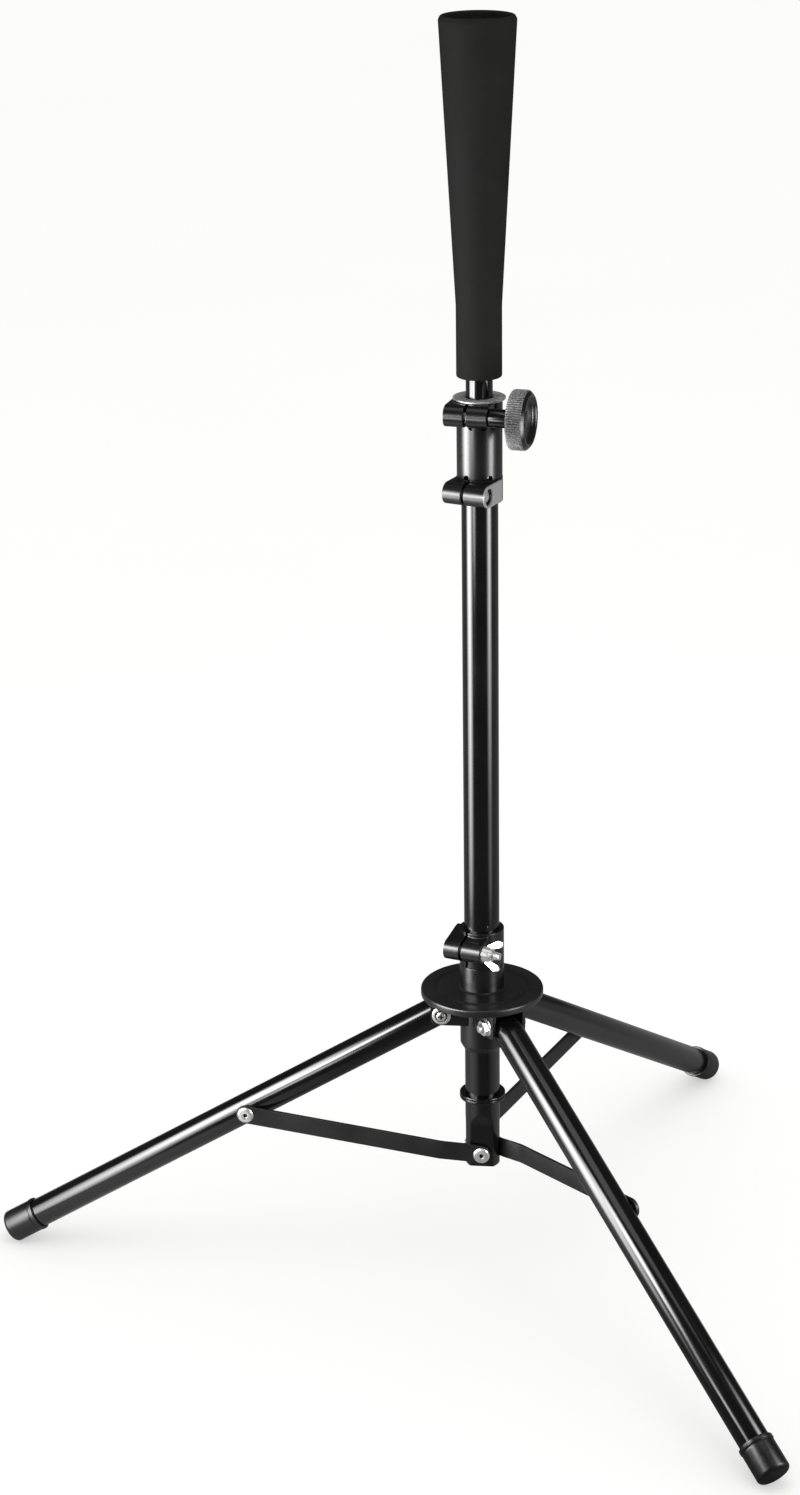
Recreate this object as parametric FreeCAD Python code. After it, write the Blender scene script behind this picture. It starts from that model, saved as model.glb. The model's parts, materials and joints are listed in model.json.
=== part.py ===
"""Batting tee on a folding tripod, one STEP file per piece, in millimetres.

Frame: origin on the floor under the mast's axis, +Z up.  The braces of leg 1 face -Y.
Each leg, with its bracket and brace, is built once in its own upright plane and then
turned about the mast to its azimuth.
"""
import FreeCAD, Part
import math
import os

Vec = FreeCAD.Vector
ORIGIN = Vec(0, 0, 0)
X_AXIS = Vec(1, 0, 0)
Y_AXIS = Vec(0, 1, 0)
Z_AXIS = Vec(0, 0, 1)

# ---- driving dimensions -------------------------------------------------------------
LEG_AZIMUTHS = (176.5, 303.5, 60.0)

# mast: outer tube, its pressed lower end and the ring under the hub
MAST_R = 12.7
MAST_WALL = 1.2
MAST_BOTTOM = 81.3
MAST_TOP = 645.0
PRESS_DEPTH_R = 9.6          # distance of each pressed flat from the mast's axis
PRESS_TOP = 114.0
PRESS_RUNOUT_TOP = 127.0
STOP_RING_R = 16.7
STOP_RING_BOTTOM = 134.5
STOP_RING_TOP = 139.1

# coupler at the top of the mast, with its bush
COUPLER_R = 15.7
COUPLER_SEAT_R = 14.7
COUPLER_BOTTOM = 588.6
COUPLER_TOP = 660.0
UPPER_BAND_BOTTOM = 644.5
LOWER_BAND_TOP = 606.0
BUSH_FLANGE_R = 18.2
BUSH_FLANGE_THICK = 1.4
BUSH_SPIGOT_BOTTOM = 620.0

# telescopic shaft and ball cone
SHAFT_R = 9.2
SHAFT_WALL = 1.2
SHAFT_BOTTOM = 180.0
SHAFT_TOP = 770.0
CONE_BOTTOM = 675.3
CONE_TAPER_START = 724.0
CONE_TOP = 915.5
CONE_BASE_R = 15.6
CONE_TOP_R = 26.1
CONE_LIP_ROUND = 1.6
CONE_MOUTH_R = 22.0
CONE_MOUTH_DEPTH = 5.0
CONE_FLOOR = 778.0
CONE_FLOOR_R = 13.2

# split clamps: bolt line, barrels and bolts
BOLT_LINE = 20.5             # from the mast's axis to the bolt's axis
BARREL_R = 7.6
BAND_WALL = 1.2
GAP = 2.0
BOLT_R = 3.0
COUNTERBORE_R = 5.95
COUNTERBORE_DEPTH = 5.4
NUT_ACROSS_FLATS = 10.0
NUT_THICK = 4.6
UPPER_CLAMP = {"height": 652.2, "azimuth": -15.0, "gap_at": -2.8, "left": 14.0, "right": 15.0}
LOWER_CLAMP = {"height": 597.6, "azimuth": -25.0, "gap_at": 0.0, "left": 14.0, "right": 16.6}
HUB_CLAMP = {"height": 258.5, "azimuth": -22.0, "gap_at": -5.5, "left": 11.9, "right": 14.5}
NUT_POCKET_DEPTH = 7.5        # the lower clamp's nut lies 2.9 mm inside its pocket
LOWER_BOLT_END = 15.8
HUB_BOLT_END = 23.0
WING_NUT_START = 10.3         # along the hub clamp's bolt
WING_HUB_LENGTH = 7.0
WING_TIP = 24.4
WING_SPAN_R = 11.0
WING_THICK = 2.4
WING_LEAN = -25.0            # about the bolt, from upright

# hand knob on the upper clamp, measured along its screw from the mast's axis plane
KNOB_R = 20.5
KNOB_START = 28.5
KNOB_END = 42.0
KNOB_DISH_R = 15.6
KNOB_DISH_DEPTH = 3.2
SPACER_R = 6.3

# hub
HUB_R = 16.0
HUB_SEAT_R = 14.8
HUB_BOTTOM = 174.8
HUB_CHAMFER_TOP = 179.6
HUB_BAND_BOTTOM = 242.5
HUB_BAND_TOP = 270.0
HUB_BORE_CLEARANCE = 0.05
DISC_R = 44.4
DISC_TOP = 223.3
DISC_UNDERSIDE = 220.3
DISC_RIM_BOTTOM = 217.7
DISC_RIM_WALL = 3.0
DISC_GROOVE_R = 33.0
EAR_GAP_R = 11.3             # inner face of each ear, from the leg's middle plane
EAR_THICK = 2.5
EAR_TIP_ROUND = 8.0
BRIDGE_THICK = 2.2
BRACKET_ROOT = 9.4           # where the ears start, short of the next bracket's ears

# legs
LEG_R = 10.9
LEG_WALL = 1.2
LEG_SLOPE = 30.6
LEG_HINGE_RADIUS = 28.4
LEG_HINGE_HEIGHT = 204.9
LEG_LENGTH = 385.4           # hinge to the far end of the foot cap
LEG_TAIL = 6.0               # tube beyond the hinge, towards the mast
FOOT_R = 12.15
FOOT_CAP_LENGTH = 26.0
FOOT_END_THICK = 5.0
FOOT_COLLAR_R = 12.6
FOOT_COLLAR_LENGTH = 3.0
FOOT_ROUND = 3.0
HINGE_HEAD_R = 6.9
HINGE_HEAD_THICK = 3.8

# braces
BRACE_HEIGHT_AT_MAST = 91.7
BRACE_ON_LEG = 170.0         # hinge to brace rivet, along the leg
BRACE_WIDTH = 14.0
BRACE_THICK = 2.5
BRACE_FOLD_ANGLE = 66.5      # brace above level when the legs are folded
BRACE_FACE_AT_FLAT = 9.9
BRACE_FACE_AT_BEND = 13.2
BRACE_FACE_AT_LEG = 11.5
BRACE_FLAT_END = 9.0
BRACE_BEND_AT = 30.0
RIVET_R = 2.5
RIVET_HEAD_R = 6.0
RIVET_HEAD_THICK = 1.7
PIN_CLEARANCE = 0.08
FACE_CLEARANCE = 0.3

# ---- linkage, worked out from the sizes above ------------------------------------------
slope = math.radians(LEG_SLOPE)
rivet_radius = LEG_HINGE_RADIUS + BRACE_ON_LEG * math.cos(slope)
rivet_rise = LEG_HINGE_HEIGHT - BRACE_ON_LEG * math.sin(slope) - BRACE_HEIGHT_AT_MAST
BRACE_LENGTH = math.hypot(rivet_radius, rivet_rise)
BRACE_ANGLE = math.degrees(math.atan2(rivet_rise, rivet_radius))


def folded_pose():
    """Hub travel (mm), leg turn and brace turn (degrees) from standing to folded."""
    up = math.radians(BRACE_FOLD_ANGLE)
    out = BRACE_LENGTH * math.cos(up) - LEG_HINGE_RADIUS
    leg = math.acos(out / BRACE_ON_LEG)
    hinge = BRACE_LENGTH * math.sin(up) + BRACE_ON_LEG * math.sin(leg)
    travel = hinge - (LEG_HINGE_HEIGHT - BRACE_HEIGHT_AT_MAST)
    return travel, math.degrees(leg) - LEG_SLOPE, BRACE_FOLD_ANGLE - BRACE_ANGLE


# ---- building blocks ---------------------------------------------------------------------
def rod(radius, low, high):
    """Upright cylinder on the mast's axis."""
    return Part.makeCylinder(radius, high - low, Vec(0, 0, low), Z_AXIS)


def tube(outer, inner, low, high):
    return rod(outer, low, high).cut(rod(inner, low - 1, high + 1))


def bar(radius, start, end, offset=ORIGIN, axis=X_AXIS):
    """Cylinder along axis between two distances, through offset."""
    base = offset.add(Vec(axis).multiply(start))
    return Part.makeCylinder(radius, end - start, base, axis)


def block(low, high):
    size = high.sub(low)
    return Part.makeBox(size.x, size.y, size.z, low)


def turned(points):
    """Solid of revolution about Z from (radius, height) points."""
    path = [Vec(r, 0, z) for r, z in points]
    face = Part.Face(Part.makePolygon(path + [path[0]]))
    return face.revolve(ORIGIN, Z_AXIS, 360)


def prism(points, axis_low, axis_high):
    """Solid with an outline of (y, z) points, extruded along X."""
    path = [Vec(axis_low, y, z) for y, z in points]
    face = Part.Face(Part.makePolygon(path + [path[0]]))
    return face.extrude(Vec(axis_high - axis_low, 0, 0))


def hexagon(across_flats, start, end, offset, axis):
    """Hexagonal bar along axis, from start to end, through offset."""
    corner = across_flats / math.sqrt(3)
    path = []
    for i in range(7):
        turn = math.radians(60 * i)
        path.append(Vec(corner * math.cos(turn), corner * math.sin(turn), 0))
    solid = Part.Face(Part.makePolygon(path)).extrude(Vec(0, 0, end - start))
    solid.Placement = FreeCAD.Placement(offset.add(Vec(axis).multiply(start)),
                                        FreeCAD.Rotation(Z_AXIS, axis))
    return solid


def fillet_circles(solid, radius, wanted):
    """Round the circular edges for which wanted(edge) is true."""
    edges = [e for e in solid.Edges if isinstance(e.Curve, Part.Circle) and wanted(e)]
    return solid.makeFillet(radius, edges)


def turn_about_mast(solid, degrees):
    solid.rotate(ORIGIN, Z_AXIS, degrees)
    return solid


def place_on_leg(solid, azimuth):
    """From the leg's own frame (X outwards along the leg, Y to its brace side)."""
    solid.rotate(ORIGIN, Y_AXIS, LEG_SLOPE)
    solid.translate(Vec(LEG_HINGE_RADIUS, 0, LEG_HINGE_HEIGHT))
    return turn_about_mast(solid, azimuth)


def place_on_brace(solid, azimuth):
    """From the brace's own frame (X outwards along the brace, from its mast rivet)."""
    solid.rotate(ORIGIN, Y_AXIS, -BRACE_ANGLE)
    solid.translate(Vec(0, 0, BRACE_HEIGHT_AT_MAST))
    return turn_about_mast(solid, azimuth)


# ---- mast ---------------------------------------------------------------------------------
def press_cutters(depth):
    """What the press takes off the tube's end, one wedge-topped block per leg."""
    low = MAST_BOTTOM - 5
    beyond = MAST_R + 5
    outline = [(depth, low), (depth, PRESS_TOP), (depth + MAST_R - PRESS_DEPTH_R, PRESS_RUNOUT_TOP),
               (beyond, PRESS_RUNOUT_TOP), (beyond, low)]
    return [turn_about_mast(prism(outline, -beyond, beyond), azimuth) for azimuth in LEG_AZIMUTHS]


def mast_tube():
    outer = rod(MAST_R, MAST_BOTTOM, MAST_TOP)
    inner = rod(MAST_R - MAST_WALL, MAST_BOTTOM - 1, MAST_TOP + 1)
    for cutter in press_cutters(PRESS_DEPTH_R):
        outer = outer.cut(cutter)
    for cutter in press_cutters(PRESS_DEPTH_R - MAST_WALL):
        inner = inner.cut(cutter)
    body = outer.cut(inner)
    for azimuth in LEG_AZIMUTHS:
        hole = bar(RIVET_R, 5, MAST_R + 2, Vec(0, 0, BRACE_HEIGHT_AT_MAST), Y_AXIS)
        body = body.cut(turn_about_mast(hole, azimuth))
    return body


def stop_ring():
    """Ring with a shallow groove round its rim."""
    middle = (STOP_RING_BOTTOM + STOP_RING_TOP) / 2
    edge = 0.6
    groove = 0.9
    rim = STOP_RING_R
    return turned([(MAST_R, STOP_RING_BOTTOM), (rim - edge, STOP_RING_BOTTOM),
                   (rim, STOP_RING_BOTTOM + edge), (rim, middle - edge),
                   (rim - groove, middle), (rim, middle + edge), (rim, STOP_RING_TOP - edge),
                   (rim - edge, STOP_RING_TOP), (MAST_R, STOP_RING_TOP)])


# ---- split clamps ----------------------------------------------------------------------------
# A clamp is built with its bolt along X and its bolt line at Y = -BOLT_LINE, then turned.
def place_clamp(solid, clamp):
    solid.translate(Vec(0, 0, clamp["height"]))
    return turn_about_mast(solid, clamp["azimuth"])


def on_bolt(radius, start, end):
    return bar(radius, start, end, Vec(0, -BOLT_LINE, 0))


def clamp_ends(clamp):
    """Positions along the bolt: left end, gap's two sides, right end."""
    gap_low = clamp["gap_at"] - GAP / 2
    gap_high = clamp["gap_at"] + GAP / 2
    return gap_low - clamp["left"], gap_low, gap_high, gap_high + clamp["right"]


def clamp_band(clamp, seat, low, high, tall=False, nut_pocket=False):
    """Split ring with a flat-sided lug and a barrel on each side of its gap.

    The lugs of a tall band widen from the barrels to the band's full height.
    """
    left, gap_low, gap_high, right = clamp_ends(clamp)
    low = low - clamp["height"]
    high = high - clamp["height"]
    lug_back = -1.0
    rise = -seat / 3
    outline = [(-BOLT_LINE, -BARREL_R), (-BOLT_LINE, BARREL_R), (lug_back, BARREL_R),
               (lug_back, -BARREL_R)]
    if tall:
        outline = [(-BOLT_LINE, -BARREL_R), (-BOLT_LINE, BARREL_R), (rise, high),
                   (lug_back, high), (lug_back, low), (rise, low)]
    body = tube(seat + BAND_WALL, seat, low, high).fuse(prism(outline, left, right))
    body = body.fuse(on_bolt(BARREL_R, left, right))
    body = body.cut(rod(seat, low - 1, high + 1))
    body = body.cut(block(Vec(gap_low, -BOLT_LINE * 2, low - 1), Vec(gap_high, 0, high + 1)))
    body = body.cut(on_bolt(BOLT_R + 0.25, left - 1, right + 1))
    body = body.cut(on_bolt(COUNTERBORE_R, left - 1, left + COUNTERBORE_DEPTH))
    if nut_pocket:
        body = body.cut(on_bolt(COUNTERBORE_R, right - NUT_POCKET_DEPTH, right + 1))
    return place_clamp(body.removeSplitter(), clamp)


def clamp_bolt(clamp, end):
    """Cheese-head bolt sunk in the left barrel, with a driver slot."""
    left = clamp_ends(clamp)[0]
    head_start = left + 0.6
    seat_at = left + COUNTERBORE_DEPTH
    body = on_bolt(COUNTERBORE_R - 0.35, head_start, seat_at)
    body = body.fuse(on_bolt(BOLT_R, seat_at, end)).removeSplitter()
    slot = block(Vec(head_start - 1, -BOLT_LINE - 0.7, -8), Vec(head_start + 1.6, -BOLT_LINE + 0.7, 8))
    return place_clamp(body.cut(slot), clamp)


def clamp_nut(clamp):
    seat_at = clamp_ends(clamp)[3] - NUT_POCKET_DEPTH
    body = hexagon(NUT_ACROSS_FLATS, seat_at, seat_at + NUT_THICK, Vec(0, -BOLT_LINE, 0), X_AXIS)
    return place_clamp(body.cut(on_bolt(BOLT_R, seat_at - 1, seat_at + 9)), clamp)


def wing_nut():
    """Tapered boss with two flared wings, turned by hand on the hub's bolt."""
    start = WING_NUT_START
    end = start + WING_HUB_LENGTH
    body = Part.makeCone(6.0, 4.6, WING_HUB_LENGTH, Vec(start, -BOLT_LINE, 0), X_AXIS)
    flare = [(3.0, start + 1.6), (6.5, start + 2.2), (WING_SPAN_R, WING_TIP - 4.5),
             (WING_SPAN_R - 0.6, WING_TIP - 0.9), (WING_SPAN_R - 2.2, WING_TIP),
             (WING_SPAN_R - 4.6, WING_TIP - 1.6), (4.4, end), (3.0, end)]
    half = WING_THICK / 2
    for side in (1, -1):
        path = [Vec(x, -BOLT_LINE - half, side * z) for z, x in flare]
        wing = Part.Face(Part.makePolygon(path + [path[0]])).extrude(Vec(0, WING_THICK, 0))
        body = body.fuse(wing)
    body = body.removeSplitter().cut(on_bolt(BOLT_R + PIN_CLEARANCE, start - 1, WING_TIP + 1))
    body.rotate(Vec(0, -BOLT_LINE, 0), X_AXIS, WING_LEAN)
    return place_clamp(body, HUB_CLAMP)


def slot_sleeve(sleeve, azimuths, start, end):
    """Cut upright slots, 2.4 mm wide, each ending in a round relief hole at height end."""
    for azimuth in azimuths:
        low, high = min(start, end), max(start, end)
        slot = block(Vec(MAST_R - 5, -1.2, low), Vec(HUB_R + 5, 1.2, high))
        hole = bar(2.2, MAST_R - 5, HUB_R + 5, Vec(0, 0, end))
        sleeve = sleeve.cut(turn_about_mast(slot.fuse(hole), azimuth))
    return sleeve


# ---- coupler ------------------------------------------------------------------------------------
def coupler_sleeve():
    body = turned([(MAST_R, COUPLER_BOTTOM), (COUPLER_SEAT_R, COUPLER_BOTTOM),
                   (COUPLER_SEAT_R, LOWER_BAND_TOP), (COUPLER_R, LOWER_BAND_TOP),
                   (COUPLER_R, UPPER_BAND_BOTTOM), (COUPLER_SEAT_R, UPPER_BAND_BOTTOM),
                   (COUPLER_SEAT_R, COUPLER_TOP), (MAST_R, COUPLER_TOP)])
    body = slot_sleeve(body, (250.0, 282.0), COUPLER_TOP + 1, UPPER_BAND_BOTTOM - 1.2)
    return slot_sleeve(body, (236.0, 298.0), COUPLER_BOTTOM - 1, LOWER_BAND_TOP + 1.2)


def shaft_bush():
    """Flanged guide in the coupler: the telescopic shaft runs in it."""
    bore = SHAFT_R + 0.07
    spigot = MAST_R - MAST_WALL
    flange_top = COUPLER_TOP + BUSH_FLANGE_THICK
    return turned([(bore, BUSH_SPIGOT_BOTTOM), (spigot, BUSH_SPIGOT_BOTTOM), (spigot, MAST_TOP),
                   (MAST_R, MAST_TOP), (MAST_R, COUPLER_TOP), (BUSH_FLANGE_R, COUPLER_TOP),
                   (BUSH_FLANGE_R, flange_top - 0.5), (BUSH_FLANGE_R - 0.5, flange_top),
                   (bore, flange_top)])


def upper_clamp_nut():
    left = clamp_ends(UPPER_CLAMP)[0]
    start = left + COUNTERBORE_DEPTH - NUT_THICK
    body = hexagon(NUT_ACROSS_FLATS, start, left + COUNTERBORE_DEPTH, Vec(0, -BOLT_LINE, 0), X_AXIS)
    body = body.cut(on_bolt(BOLT_R + PIN_CLEARANCE, start - 1, left + COUNTERBORE_DEPTH + 1))
    return place_clamp(body, UPPER_CLAMP)


def clamp_screw():
    """Hand screw: its end turns in the nut, its other end is fast in the knob."""
    left = clamp_ends(UPPER_CLAMP)[0]
    return place_clamp(on_bolt(BOLT_R, left + 0.4, KNOB_START + 6), UPPER_CLAMP)


def knob_spacer():
    right = clamp_ends(UPPER_CLAMP)[3]
    body = on_bolt(SPACER_R, right + FACE_CLEARANCE, KNOB_START)
    return place_clamp(body.cut(on_bolt(BOLT_R, right - 1, KNOB_START + 1)), UPPER_CLAMP)


def clamp_knob():
    """Thick disc with rounded rims and a dished outer face."""
    body = on_bolt(KNOB_R, KNOB_START, KNOB_END)
    body = fillet_circles(body, 2.4, lambda e: e.Curve.Radius > KNOB_DISH_R)
    dish = Part.makeCone(KNOB_DISH_R - 1.5, KNOB_DISH_R, KNOB_DISH_DEPTH,
                         Vec(KNOB_END - KNOB_DISH_DEPTH, -BOLT_LINE, 0), X_AXIS)
    body = body.cut(dish)
    return place_clamp(body.cut(on_bolt(BOLT_R, KNOB_START - 1, KNOB_START + 6)), UPPER_CLAMP)


# ---- telescopic shaft and ball cone ----------------------------------------------------------------
def inner_shaft():
    return tube(SHAFT_R, SHAFT_R - SHAFT_WALL, SHAFT_BOTTOM, SHAFT_TOP)


def shaft_guide():
    """Plug in the shaft's lower end that keeps it central in the mast."""
    bore = MAST_R - MAST_WALL - 0.05
    stem = SHAFT_R - SHAFT_WALL
    low = SHAFT_BOTTOM - 10
    return turned([(0, low), (bore - 1, low), (bore, low + 1), (bore, SHAFT_BOTTOM - 1),
                   (bore - 1, SHAFT_BOTTOM), (stem, SHAFT_BOTTOM), (stem, SHAFT_BOTTOM + 15),
                   (0, SHAFT_BOTTOM + 15)])


def ball_cone():
    """Rubber sleeve: gripped on the shaft below, flared open cup above."""
    mouth_low = CONE_TOP - CONE_MOUTH_DEPTH
    lip = CONE_LIP_ROUND
    outer = turned([(0, CONE_BOTTOM), (CONE_BASE_R, CONE_BOTTOM), (CONE_BASE_R, CONE_TAPER_START),
                    (CONE_TOP_R, CONE_TOP), (0, CONE_TOP)])
    outer = fillet_circles(outer, lip, lambda e: e.BoundBox.ZMin > CONE_TOP - 1)
    outer = fillet_circles(outer, 1.2, lambda e: e.BoundBox.ZMax < CONE_BOTTOM + 1)
    hollow = turned([(0, CONE_FLOOR), (CONE_FLOOR_R, CONE_FLOOR), (CONE_MOUTH_R, mouth_low),
                     (CONE_MOUTH_R, CONE_TOP + 1), (0, CONE_TOP + 1)])
    return outer.cut(hollow).cut(rod(SHAFT_R, CONE_BOTTOM - 1, CONE_FLOOR + 1))


# ---- hub ----------------------------------------------------------------------------------------------
def hub_sleeve():
    bore = MAST_R + HUB_BORE_CLEARANCE
    body = turned([(bore, HUB_BOTTOM), (bore + 0.6, HUB_BOTTOM), (HUB_R, HUB_CHAMFER_TOP),
                   (HUB_R, HUB_BAND_BOTTOM), (HUB_SEAT_R, HUB_BAND_BOTTOM),
                   (HUB_SEAT_R, HUB_BAND_TOP), (bore, HUB_BAND_TOP)])
    return slot_sleeve(body, (226.0, 46.0), HUB_BAND_TOP + 1, HUB_BAND_BOTTOM + 3)


def hub_disc():
    """Shallow inverted dish with a turned-down rim and a pressed ring groove."""
    inner = DISC_R - DISC_RIM_WALL
    groove = DISC_GROOVE_R
    body = turned([(HUB_R, DISC_UNDERSIDE), (inner, DISC_UNDERSIDE), (inner, DISC_RIM_BOTTOM),
                   (DISC_R - 0.8, DISC_RIM_BOTTOM), (DISC_R, DISC_RIM_BOTTOM + 0.8),
                   (DISC_R, DISC_TOP - 1.6), (DISC_R - 1.6, DISC_TOP), (groove + 2, DISC_TOP),
                   (groove, DISC_TOP - 0.9), (groove - 2, DISC_TOP), (HUB_R, DISC_TOP)])
    return body


def leg_bracket(azimuth):
    """Two ears joined by a bridge under the disc; the leg hinges between them."""
    bottom = LEG_HINGE_HEIGHT - EAR_TIP_ROUND
    outer = EAR_GAP_R + EAR_THICK
    tip = LEG_HINGE_RADIUS
    hinge = Vec(tip, 0, LEG_HINGE_HEIGHT)
    slab = block(Vec(BRACKET_ROOT, -outer, bottom), Vec(tip, outer, DISC_UNDERSIDE))
    slab = slab.fuse(block(Vec(BRACKET_ROOT, -outer, LEG_HINGE_HEIGHT),
                           Vec(tip + EAR_TIP_ROUND, outer, DISC_UNDERSIDE)))
    slab = slab.fuse(bar(EAR_TIP_ROUND, -outer, outer, hinge, Y_AXIS)).removeSplitter()
    slab = slab.cut(block(Vec(0, -EAR_GAP_R, 0), Vec(2 * tip, EAR_GAP_R,
                                                     DISC_UNDERSIDE - BRIDGE_THICK)))
    slab = slab.cut(rod(HUB_R, 0, DISC_UNDERSIDE + 1))
    slab = slab.cut(bar(BOLT_R, -outer - 1, outer + 1, hinge, Y_AXIS))
    return turn_about_mast(slab, azimuth)


def leg_hinge_bolt(azimuth):
    """Pan-head bolt through both ears and the leg, with a cross recess."""
    outer = EAR_GAP_R + EAR_THICK
    hinge = Vec(LEG_HINGE_RADIUS, 0, LEG_HINGE_HEIGHT)
    head = bar(HINGE_HEAD_R, outer, outer + HINGE_HEAD_THICK, hinge, Y_AXIS)
    head = fillet_circles(head, 1.6, lambda e: e.BoundBox.YMin > outer + 1)
    body = head.fuse(bar(BOLT_R, -outer - NUT_THICK - 2.6, outer, hinge, Y_AXIS)).removeSplitter()
    reach = 3.2
    deep = Vec(0, outer + HINGE_HEAD_THICK - 1.6, 0)
    for wide, tall in ((reach, 0.6), (0.6, reach)):
        low = hinge.add(deep).sub(Vec(wide, 0, tall))
        body = body.cut(block(low, low.add(Vec(2 * wide, 5, 2 * tall))))
    return turn_about_mast(body, azimuth)


def leg_hinge_nut(azimuth):
    """Hexagon nut with a round flange, on the plain side of the bracket."""
    outer = EAR_GAP_R + EAR_THICK
    hinge = Vec(LEG_HINGE_RADIUS, 0, LEG_HINGE_HEIGHT)
    flange = 1.0
    body = hexagon(NUT_ACROSS_FLATS, -outer - NUT_THICK, -outer, hinge, Y_AXIS)
    body = body.fuse(bar(HINGE_HEAD_R - 0.7, -outer - flange, -outer, hinge, Y_AXIS))
    body = body.cut(bar(BOLT_R, -outer - NUT_THICK - 1, -outer + 1, hinge, Y_AXIS))
    return turn_about_mast(body, azimuth)


# ---- legs ----------------------------------------------------------------------------------------------
def leg_tube(azimuth):
    end = LEG_LENGTH - FOOT_END_THICK
    body = bar(LEG_R, -LEG_TAIL, end).cut(bar(LEG_R - LEG_WALL, -LEG_TAIL - 1, end + 1))
    body = body.cut(bar(BOLT_R + PIN_CLEARANCE, -LEG_R - 1, LEG_R + 1, ORIGIN, Y_AXIS))
    return place_on_leg(body, azimuth)


def foot_cap(azimuth):
    """Rubber cup on the leg's end, worn to a small flat where it meets the floor."""
    start = LEG_LENGTH - FOOT_CAP_LENGTH
    body = bar(FOOT_R, start, LEG_LENGTH)
    body = fillet_circles(body, FOOT_ROUND, lambda e: e.BoundBox.XMin > LEG_LENGTH - 1)
    body = body.fuse(bar(FOOT_COLLAR_R, start, start + FOOT_COLLAR_LENGTH)).removeSplitter()
    body = body.cut(bar(LEG_R, start - 1, LEG_LENGTH - FOOT_END_THICK))
    body = place_on_leg(body, azimuth)
    reach = 2 * LEG_LENGTH
    return body.cut(block(Vec(-reach, -reach, -20), Vec(reach, reach, 0)))


# ---- braces ----------------------------------------------------------------------------------------------
def brace(azimuth):
    """Flat strip with round ends, stepped out from the mast's flat to clear the tube."""
    half = BRACE_WIDTH / 2
    inner = [(-half, BRACE_FACE_AT_FLAT), (BRACE_FLAT_END, BRACE_FACE_AT_FLAT),
             (BRACE_BEND_AT, BRACE_FACE_AT_BEND),
             (BRACE_LENGTH - BRACE_FLAT_END, BRACE_FACE_AT_LEG),
             (BRACE_LENGTH + half, BRACE_FACE_AT_LEG)]
    outer = [(x, y + BRACE_THICK) for x, y in reversed(inner)]
    path = [Vec(x, y, -half) for x, y in inner + outer]
    strip = Part.Face(Part.makePolygon(path + [path[0]])).extrude(Vec(0, 0, BRACE_WIDTH))
    outline = block(Vec(0, 0, -half), Vec(BRACE_LENGTH, 30, half))
    for x in (0, BRACE_LENGTH):
        outline = outline.fuse(bar(half, 0, 30, Vec(x, 0, 0), Y_AXIS))
    strip = strip.common(outline.removeSplitter())
    strip = strip.cut(bar(RIVET_R + PIN_CLEARANCE, 0, 30, ORIGIN, Y_AXIS))
    strip = strip.cut(bar(RIVET_R, 0, 30, Vec(BRACE_LENGTH, 0, 0), Y_AXIS))
    return place_on_brace(strip, azimuth)


def rivet_head(face, offset):
    """Low dome with a small centre hole, its flat side on the plane y = face."""
    crown = 0.9
    head = bar(RIVET_HEAD_R, face, face + RIVET_HEAD_THICK, offset, Y_AXIS)
    head = fillet_circles(head, crown, lambda e: e.BoundBox.YMin > face + crown)
    return head.cut(bar(1.1, face + 0.4, face + 5, offset, Y_AXIS))


def brace_mast_rivet(azimuth):
    """Rivet fast in the mast's flat; the brace turns on its shank."""
    inside = PRESS_DEPTH_R - MAST_WALL
    face = BRACE_FACE_AT_FLAT + BRACE_THICK + 0.1
    body = rivet_head(face, ORIGIN).fuse(bar(RIVET_R, inside, face, ORIGIN, Y_AXIS))
    body = body.fuse(bar(4.0, inside - 0.8, inside, ORIGIN, Y_AXIS)).removeSplitter()
    return place_on_brace(body, azimuth)


def brace_leg_rivet(azimuth):
    """Rivet in the brace's outer end; its shank stops just short of the leg."""
    spot = Vec(BRACE_LENGTH, 0, 0)
    face = BRACE_FACE_AT_LEG + BRACE_THICK
    body = rivet_head(face, spot).fuse(bar(RIVET_R, LEG_R + FACE_CLEARANCE, face, spot, Y_AXIS))
    return place_on_brace(body.removeSplitter(), azimuth)


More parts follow.
